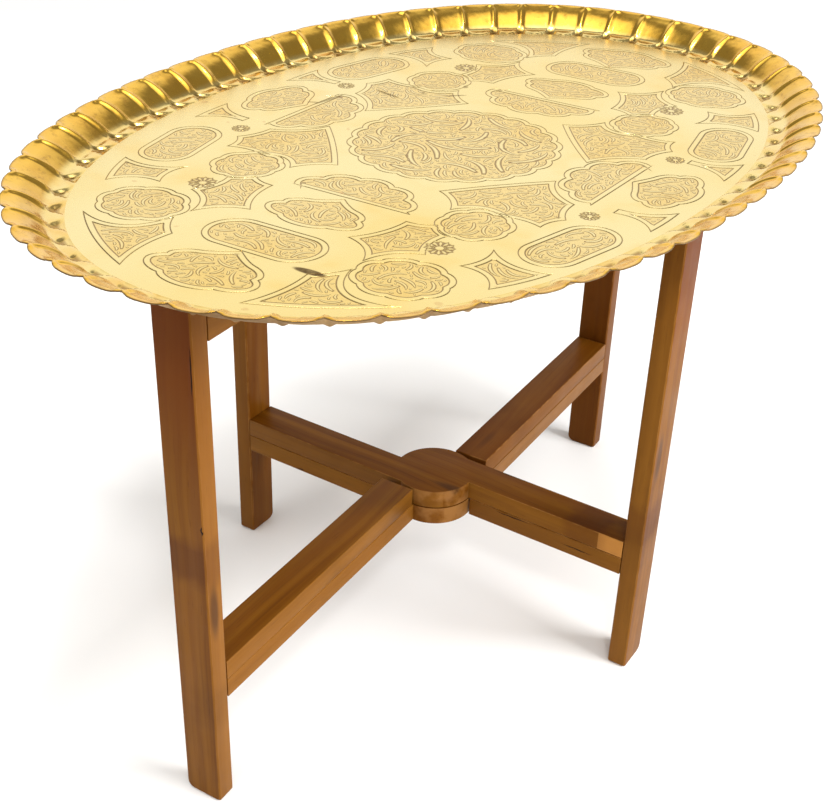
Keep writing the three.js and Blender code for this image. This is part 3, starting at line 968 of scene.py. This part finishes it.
def build_tray():
    rng = np.random.default_rng(TRAY_SEED)
    flute, phase, angles = flute_places(rng)
    n = len(angles)
    variation = rim_variation(rng)
    top_rows, creases = rim_grid(RIM_RINGS, angles, flute, phase, variation, 0)
    under_rows, _ = rim_grid(UNDER_RINGS, angles, flute, phase, variation, SHEET)
    under_rows.append(np.column_stack([oval_point(RIM_BAND, angles), np.full(n, UNDERSIDE)]))
    lip = top_rows[-1] - (0, 0, SHEET * 0.5)
    rows = [*top_rows, lip, *under_rows]
    floor_points, floor_faces, floor_line, floor_panel = chased_floor(top_rows[0][:, :2], rng)
    # 1 on the lip's edge row and the first row under it: painted shade for the rim's thin dark edge.
    below = np.zeros(n * (1 + len(under_rows)))
    below[:2 * n] = 1
    faces, slots, smooth_faces = rim_faces(len(rows), len(top_rows), n)
    on_ground = np.abs(floor_points[:, 2][floor_faces] - FLOOR + GROUND_DEPTH).max(1) < 0.01
    on_leaf = (floor_panel[floor_faces].min(1) > 0.5) & ~on_ground
    faces += [tuple(n * len(rows) + f) for f in floor_faces]
    slots += [3 if v else 0 for v in on_ground]
    smooth_faces += [bool(v) for v in on_leaf]
    tray = new_object("brass_tray", np.concatenate([*rows, floor_points]), faces,
                      [brass_floor_material("brass_floor", False), brass_rim_material(),
                       brass_underside_material(), brass_floor_material("brass_matted_ground", True)],
                      slots, smooth_faces)
    set_attribute(tray.data, "line", np.concatenate([*creases, below, floor_line]))
    with editing(tray.data) as edited:
        bmesh.ops.remove_doubles(edited, verts=edited.verts, dist=WELD_M)
    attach(tray, "tray")
    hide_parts("tray")


# ======== Wooden stand

EASE = 0.5
EASE_STEPS = 4
BOARD_WELD_M = 2e-5
SMALL_FACE_M2 = 2e-4


def board_axes(node):
    """The turn that puts a board's own X axis along its grain."""
    turn = Matrix.Rotation(SHORT_ANGLE if "_short" in node else LONG_ANGLE, 4, "Z")
    if node.startswith("leg_"):
        upright = Matrix(((0, 0, 1, 0), (0, 1, 0, 0), (-1, 0, 0, 0), (0, 0, 0, 1)))
        return turn @ upright.inverted()
    return turn


def soften(mesh):
    """Rounds a board's outer edges."""
    with editing(mesh) as edited:
        bmesh.ops.remove_doubles(edited, verts=edited.verts, dist=BOARD_WELD_M)
        bmesh.ops.dissolve_limit(edited, angle_limit=FLAT_ANGLE, verts=edited.verts, edges=edited.edges)
        sharp = [e for e in edited.edges if e.is_manifold and e.calc_face_angle(0) > SHARP_ANGLE]
        bmesh.ops.bevel(edited, geom=sharp, offset=EASE * MM, segments=EASE_STEPS, profile=0.5,
                        affect="EDGES", clamp_overlap=True)


def board_piece(node, wood, settings):
    axes = board_axes(node)
    mesh = frame["nodes"][node].data.copy()
    mesh.transform(axes.inverted())
    mesh.materials.clear()
    mesh.materials.append(wood)
    soften(mesh)
    for polygon in mesh.polygons:
        polygon.use_smooth = True
    set_attribute(mesh, "wear", edge_wear(mesh))
    mark_narrow_faces(mesh)
    piece = bpy.data.objects.new("wood_" + node, mesh)
    piece.matrix_world = axes
    for key, value in settings.items():
        piece[key] = value
    add_to_scene(piece)
    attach(piece, "short_frame" if "_short" in node else "long_frame")
    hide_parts(node)
    return piece


def mark_narrow_faces(mesh):
    """1 on a board's narrow long faces, which face along its own Y axis, and 0 on the others. The wood
    material paints these faces paler, as painted light.
    """
    attribute = mesh.attributes.new("narrow_face", "FLOAT", "FACE")
    attribute.data.foreach_set("value", [float(abs(p.normal.y) > 0.7) for p in mesh.polygons])


def crack_cutter(start, length, centre, into, depth, width, rng):
    """A thin wandering wedge along a board's grain. Places in metres on the board's own axes."""
    steps = 9
    across = Vector((1, 0, 0)).cross(into)
    left, right, bottom = [], [], []
    for k in range(steps):
        t = k / (steps - 1)
        half = width / 2 * (0.15 + math.sin(math.pi * t) ** 0.8) * rng.uniform(0.7, 1.1)
        wander = across * rng.uniform(-0.3, 0.3) * width
        middle = Vector((start + length * t, *centre)) + wander
        left.append(middle - into * MM + across * half)
        right.append(middle - into * MM - across * half)
        bottom.append(middle + into * depth * (0.3 + 0.7 * math.sin(math.pi * t)))
    mesh = bmesh.new()
    rows = [[mesh.verts.new(v) for v in row] for row in (left, right, bottom)]
    for row, following in ((0, 1), (1, 2), (2, 0)):
        for k in range(steps - 1):
            mesh.faces.new((rows[row][k], rows[row][k + 1], rows[following][k + 1], rows[following][k]))
    for k in (0, steps - 1):
        mesh.faces.new([row[k] for row in rows])
    bmesh.ops.recalc_face_normals(mesh, faces=mesh.faces)
    for face in mesh.faces:
        face.material_index = 1
    return mesh


def cut_cracks(piece, cracks, material, rng):
    """Cuts the drying cracks into a board and gives them their own dark material."""
    piece.data.materials.append(material)
    for crack in cracks:
        cutter_mesh = bpy.data.meshes.new("cutter")
        edited = crack_cutter(*crack, rng)
        edited.to_mesh(cutter_mesh)
        edited.free()
        for wood in piece.data.materials:
            cutter_mesh.materials.append(wood)
        cutter = bpy.data.objects.new("cutter", cutter_mesh)
        cutter.matrix_world = piece.matrix_world
        add_to_scene(cutter)
        modifier = piece.modifiers.new("cut", "BOOLEAN")
        modifier.operation = "DIFFERENCE"
        modifier.solver = "EXACT"
        modifier.object = cutter
        bpy.context.view_layer.update()
        evaluated = piece.evaluated_get(bpy.context.evaluated_depsgraph_get())
        carved = bpy.data.meshes.new_from_object(evaluated)
        piece.modifiers.clear()
        piece.data = carved
        bpy.data.objects.remove(cutter)
        bpy.data.meshes.remove(cutter_mesh)
    with editing(piece.data) as edited:
        for edge in edited.edges:
            edge.smooth = edge.calc_face_angle(0) < SHARP_ANGLE


def edge_wear(mesh):
    """1 where a point belongs only to small faces, as on a rounded edge, and 0 on the flats."""
    largest = np.zeros(len(mesh.vertices))
    for polygon in mesh.polygons:
        for v in polygon.vertices:
            largest[v] = max(largest[v], polygon.area)
    return (largest < SMALL_FACE_M2).astype(float)


# How much darker (-1) or paler (1) than the rest a board is, and where its pale block or dark stain lies
# along it, in metres
TONES = {"leg_short_back": -0.3, "leg_long_right": -0.55, "lower_filler_long_right": -0.4,
         "lower_disc_board_short": -0.15, "leg_long_left": -0.05, "lower_filler_long_left": 0.1}


BLOCKS_M = {"lower_disc_board_short": 0.205}
STAINS_M = {"lower_disc_board_short": 0.172, "leg_long_left": 0.262, "leg_short_front": 0.175}
NOWHERE = -9.0
STAND_SEED = 21


def is_board(node):
    return "dowel" not in node and any(word in node for word in ("leg_", "_board_", "_filler_"))


def build_stand():
    wood = wood_material()
    split = crack_material()
    rng = random.Random(STAND_SEED)
    for node in sorted(filter(is_board, frame["nodes"])):
        settings = {"grain_seed": round(rng.uniform(1, 90), 2),
                    "tone": TONES.get(node, rng.uniform(-0.2, 0.1)),
                    "leg": float(node.startswith("leg_")),
                    "block_at": BLOCKS_M.get(node, NOWHERE),
                    "stain_at": STAINS_M.get(node, NOWHERE)}
        piece = board_piece(node, wood, settings)
        cracks = board_cracks(node, piece.data)
        if cracks:
            cut_cracks(piece, cracks, split, rng)


def board_cracks(node, mesh):
    """Start, length, (y, z), direction into the wood, depth and width of each of a board's cracks."""
    points = np.array([v.co for v in mesh.vertices])
    low, high = points.min(0), points.max(0)
    into_face, into_side = Vector((0, 0, -1)), Vector((0, 1, 0))
    if node == "leg_long_left":
        return [(0.418, 0.044, (low[1] + 0.0022, high[2]), into_face, 0.005, 0.0015),
                (0.294, 0.009, (low[1] + 0.0016, high[2]), into_face, 0.004, 0.0024)]
    if node == "lower_filler_short_front":
        return [(0.074, 0.038, (low[1], high[2] - 0.0022), into_side, 0.004, 0.0014),
                (0.150, 0.034, (low[1], (low[2] + high[2]) / 2), into_side, 0.003, 0.0013)]
    if node == "lower_filler_short_back":
        return [(-0.150, 0.010, (low[1], low[2] + 0.0022), into_side, 0.003, 0.0020)]
    return []


def dress_hardware():
    """Materials for the CAD pieces that stay as they are."""
    looks = {"dowel": dowel_material(), "friction_washer": leather_material(), "pivot": steel_material()}
    looks["retaining_washer"] = looks["pivot"]
    for node, piece in frame["nodes"].items():
        for key, material in looks.items():
            if key in node and not piece.hide_render:
                for slot in piece.material_slots:
                    slot.link = "OBJECT"
                    slot.material = material


# ======== Studio

CAMERA_PLACE_M = (-0.9405, -0.6626, 0.9343)
CAMERA_HEADING = 53.574
CAMERA_PITCH = 31.465
CAMERA_ROLL = 2.009
CAMERA_LENS = 58.897
SENSOR_WIDTH = 36


def add_camera():
    heading, pitch, roll = (math.radians(a) for a in (CAMERA_HEADING, CAMERA_PITCH, CAMERA_ROLL))
    ahead = Vector((math.sin(heading) * math.cos(pitch), math.cos(heading) * math.cos(pitch),
                    -math.sin(pitch)))
    right = Vector((math.cos(heading), -math.sin(heading), 0))
    up = right.cross(ahead)
    image_right = math.cos(roll) * right + math.sin(roll) * up
    image_up = -math.sin(roll) * right + math.cos(roll) * up
    data = bpy.data.cameras.new("camera")
    data.sensor_fit = "HORIZONTAL"
    data.sensor_width = SENSOR_WIDTH
    data.lens = CAMERA_LENS
    data.clip_start, data.clip_end = 0.05, 50
    camera = bpy.data.objects.new("camera", data)
    turn = Matrix((image_right, image_up, -ahead)).transposed().to_4x4()
    camera.matrix_world = Matrix.Translation(CAMERA_PLACE_M) @ turn
    add_to_scene(camera)
    bpy.context.scene.camera = camera


# Lamps: name, place, what it points at, width and height, and power in watts
SOFTBOXES = [
    ("overhead", (-0.4, -0.3, 2.8), (0, 0, 0.3), (0.5, 0.5), 22),
    ("key", (0.6, -2.6, 1.5), (0, 0, 0.3), (1.6, 1.2), 120),
    ("glint", (-1.5, -1.3, 2.3), (0, 0, 0.5), (0.35, 0.35), 16),
    ("left", (-2.6, 0.6, 1.5), (0, 0, 0.2), (1.0, 1.4), 10),
]


def add_softbox(name, place, target, size, power):
    data = bpy.data.lights.new(name, "AREA")
    data.shape = "RECTANGLE"
    data.size, data.size_y = size
    data.energy = power
    lamp = bpy.data.objects.new(name, data)
    lamp.location = place
    lamp.rotation_euler = (Vector(target) - Vector(place)).to_track_quat("-Z", "Y").to_euler()
    add_to_scene(lamp)


FLOOR_HALF_M = 40.0
FLOOR_DROP_M = 0.0005
FLOOR_GREY = (0.86, 0.86, 0.86)
FLOOR_WHITE = (0.90, 0.90, 0.89)


def add_floor():
    s = Shader("pale_floor")
    tint = s.noise(s.place(), 3, 3)
    material = s.finish(Base_Color=s.mix(tint, FLOOR_GREY, FLOOR_WHITE), Roughness=0.9)
    points = np.array([(-1, -1, 0), (1, -1, 0), (1, 1, 0), (-1, 1, 0)]) * FLOOR_HALF_M / MM
    floor = new_object("studio_floor", points, [(0, 1, 2, 3)], [material])
    floor.location.z = -FLOOR_DROP_M


# Soft patches of light on the studio's walls: direction, half-width in degrees, softness, strength
WORLD_GLOW = 0.30
WORLD_WHITE = (1, 0.985, 0.96)
WORLD_PATCHES = [
    ((0.73, 0.55, 0.41), 27, 9, 0.78),
    ((-0.22, -0.18, 0.94), 28, 14, 1.95),
    ((-0.65, 0.50, 0.60), 14, 12, 0.7),
    ((0.95, -0.25, 0.22), 10, 10, 0.6),
]


def add_world():
    """A grey studio with a few soft bright patches, fixed to the world."""
    world = bpy.data.worlds.new("studio")
    world.use_nodes = True
    s = Nodes(world.node_tree)
    direction = s.node("TexCoord", "Generated")
    total = WORLD_GLOW
    for towards, half_width, softness, strength in WORLD_PATCHES:
        facing = s.vector_math("DOT_PRODUCT", direction, Vector(towards).normalized(), "Value")
        outer = math.cos(math.radians(half_width + softness))
        inner = math.cos(math.radians(max(half_width - softness, 0)))
        total = s.plus(s.between(facing, outer, inner, 0, strength), total)
    background = s.node("Background", Color=WORLD_WHITE, Strength=total)
    s.link(background, s.tree.nodes.new("ShaderNodeOutputWorld").inputs[0])
    bpy.context.scene.world = world


def add_studio():
    add_camera()
    add_floor()
    add_world()
    for softbox in SOFTBOXES:
        add_softbox(*softbox)
    bpy.context.scene.view_settings.view_transform = "Standard"


add_studio()
build_tray()
build_stand()
dress_hardware()
